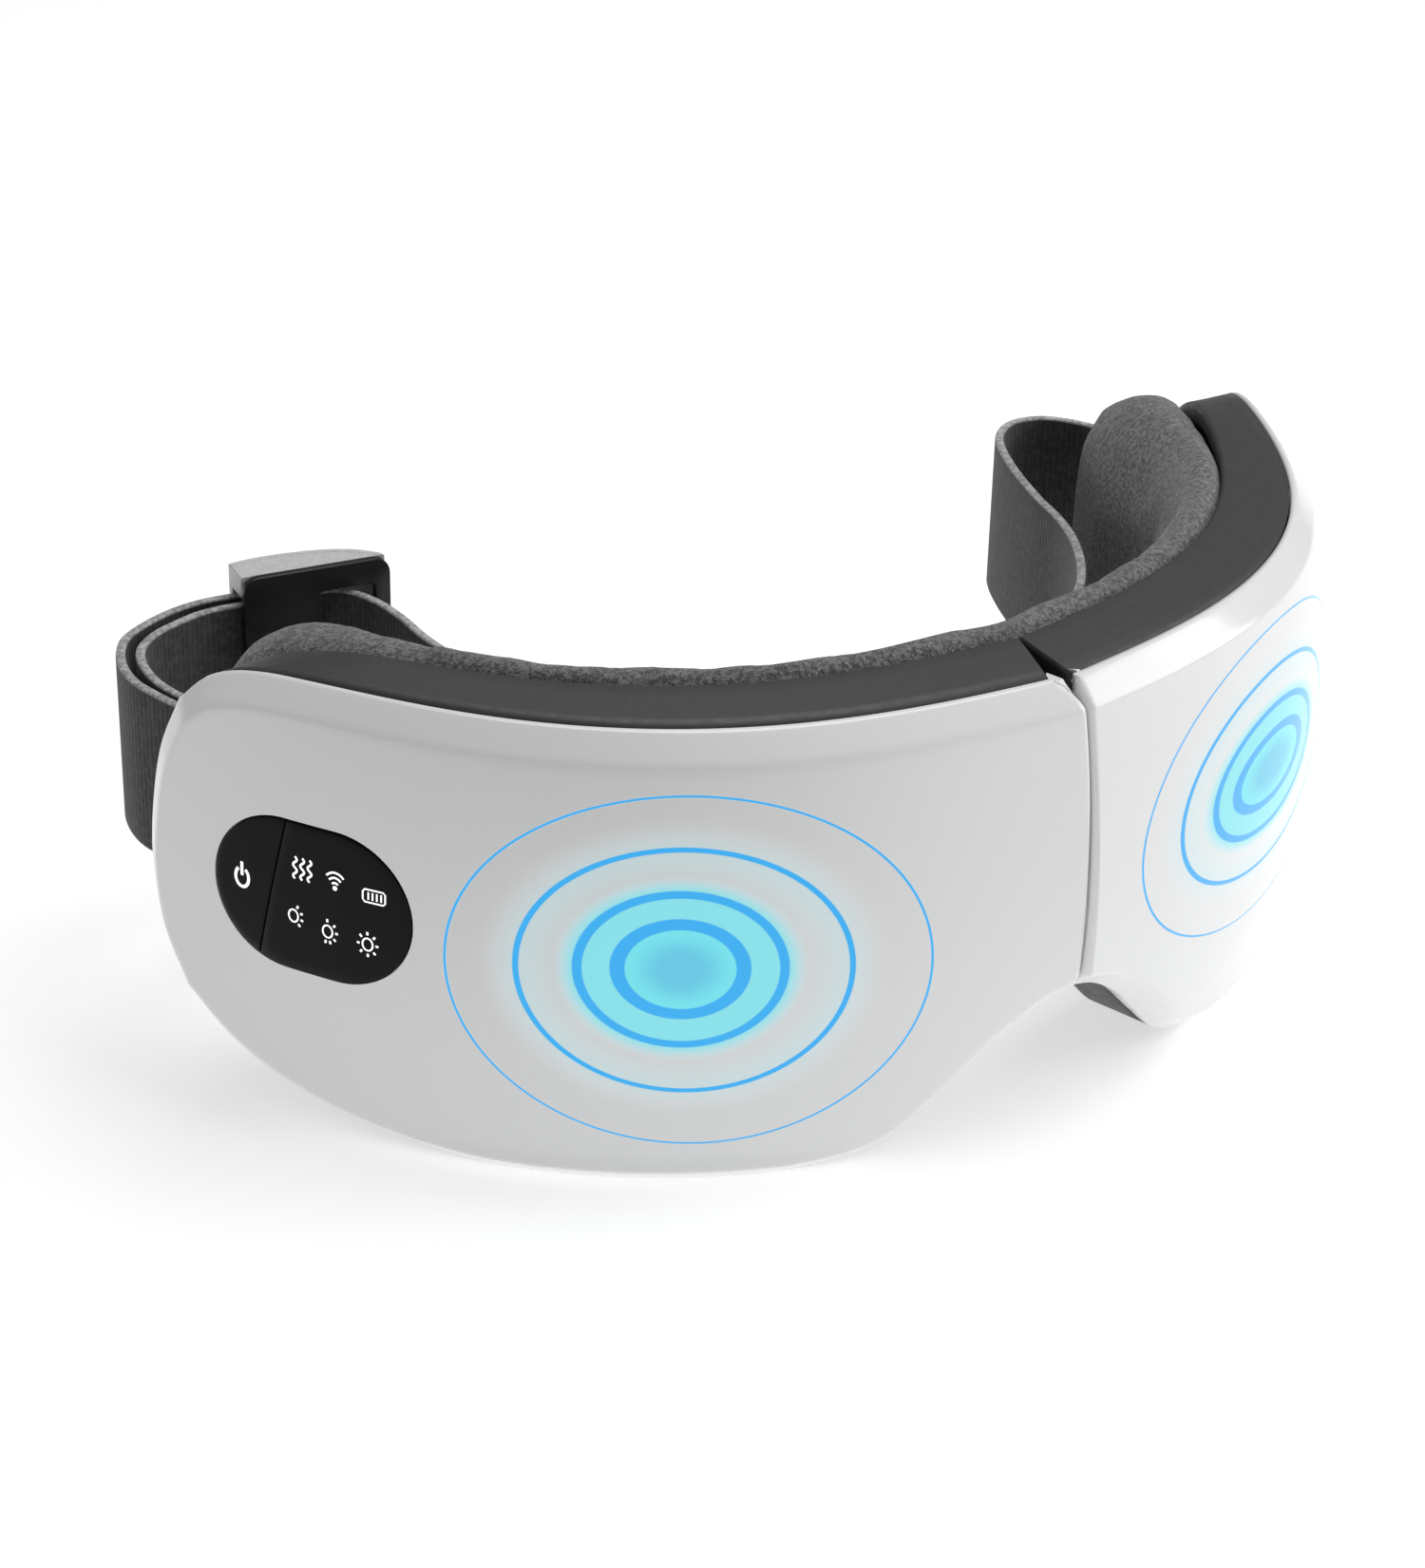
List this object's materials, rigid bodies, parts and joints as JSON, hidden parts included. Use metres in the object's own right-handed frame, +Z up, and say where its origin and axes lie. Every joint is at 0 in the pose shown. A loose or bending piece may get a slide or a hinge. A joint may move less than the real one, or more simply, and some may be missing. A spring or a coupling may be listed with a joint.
{
  "type": "eye massager mask",
  "caption": "Foldable eye massager mask with white front shells, a touch panel, grey padded face lining and an elastic head strap with a slide buckle",
  "frame": {"origin": "Middle of the footprint, on the surface the mask rests on.", "axes": "+X to the viewer's right across the front, +Y from the front shells back towards the wearer, +Z up through the brow edge."},
  "size_m": [0.2138, 0.1312, 0.0752],
  "materials": {
    "white_shell": "gloss",
    "charcoal_plastic": "satin",
    "black_gloss": "gloss",
    "lining_fabric": "soft heathered knit",
    "elastic_strap": "ribbed elastic weave",
    "pale_plastic": "satin",
    "board_green": "satin",
    "steel": "brushed",
    "battery_foil": "satin",
    "silicone": "matte",
    "copper_film": "satin"
  },
  "bodies": {
    "left_half": {"front_shell_left": "white_shell", "rear_tray_left": "charcoal_plastic", "lining_left": "lining_fabric", "panel_window": "black_gloss", "icon_light_guide": "pale_plastic", "key_switch": "steel", "control_board": "board_green", "battery": "battery_foil", "power_board": "board_green", "charging_port": "steel", "airbag_left": "silicone", "heating_film_left": "copper_film", "speaker_left": "charcoal_plastic", "vibration_motor_left": "steel", "screw_left_1": "steel", "screw_left_2": "steel", "screw_left_3": "steel", "screw_left_4": "steel", "hinge_leaf_left": "steel", "hinge_pin": "steel", "strap_anchor_left": "charcoal_plastic", "strap_inner_layer": "elastic_strap", "strap_inside_run": "elastic_strap", "strap_outer_layer": "elastic_strap", "bridge_web": "lining_fabric", "flex_cable": "copper_film", "air_tube": "silicone"},
    "right_half": {"front_shell_right": "white_shell", "rear_tray_right": "charcoal_plastic", "lining_right": "lining_fabric", "airbag_right": "silicone", "heating_film_right": "copper_film", "speaker_right": "charcoal_plastic", "vibration_motor_right": "steel", "screw_right_1": "steel", "screw_right_2": "steel", "screw_right_3": "steel", "screw_right_4": "steel", "hinge_leaf_right": "steel", "strap_anchor_right": "charcoal_plastic", "strap_right_run": "elastic_strap", "air_pump": "charcoal_plastic", "pump_motor": "steel", "release_valve": "pale_plastic"},
    "power_key": {"power_key": "black_gloss"},
    "buckle": {"buckle_plate": "black_gloss", "buckle_cover": "pale_plastic"},
    "weight_left": {"motor_weight_left": "steel"},
    "weight_right": {"motor_weight_right": "steel"}
  },
  "joints": [
    {"name": "center_fold", "type": "hinge", "parent": "left_half", "child": "right_half", "pos_m": [0, -0.04508, 0.0475], "axis": [0, 0, 1], "range_deg": [0, 60], "deforming": ["strap_inside_run", "strap_right_run", "bridge_web", "flex_cable", "air_tube"]},
    {"name": "power_key_press", "type": "slide", "parent": "left_half", "child": "power_key", "axis": [0.8883, 0.4592, 0], "range_m": [0, 0.0005], "stiffness_N_per_m": 3000},
    {"name": "buckle_slide", "type": "slide", "parent": "left_half", "child": "buckle", "axis": [0.9816, -0.1908, 0], "range_m": [-0.005, 0.005], "deforming": ["strap_outer_layer", "strap_inner_layer", "strap_inside_run"]},
    {"name": "weight_spin_left", "type": "hinge", "parent": "left_half", "child": "weight_left", "pos_m": [-0.03281, -0.04959, 0.0495], "axis": [0.9574, -0.2888, 0], "continuous": true},
    {"name": "weight_spin_right", "type": "hinge", "parent": "right_half", "child": "weight_right", "pos_m": [0.03281, -0.04959, 0.0495], "axis": [0.9574, 0.2888, 0], "continuous": true}
  ]
}
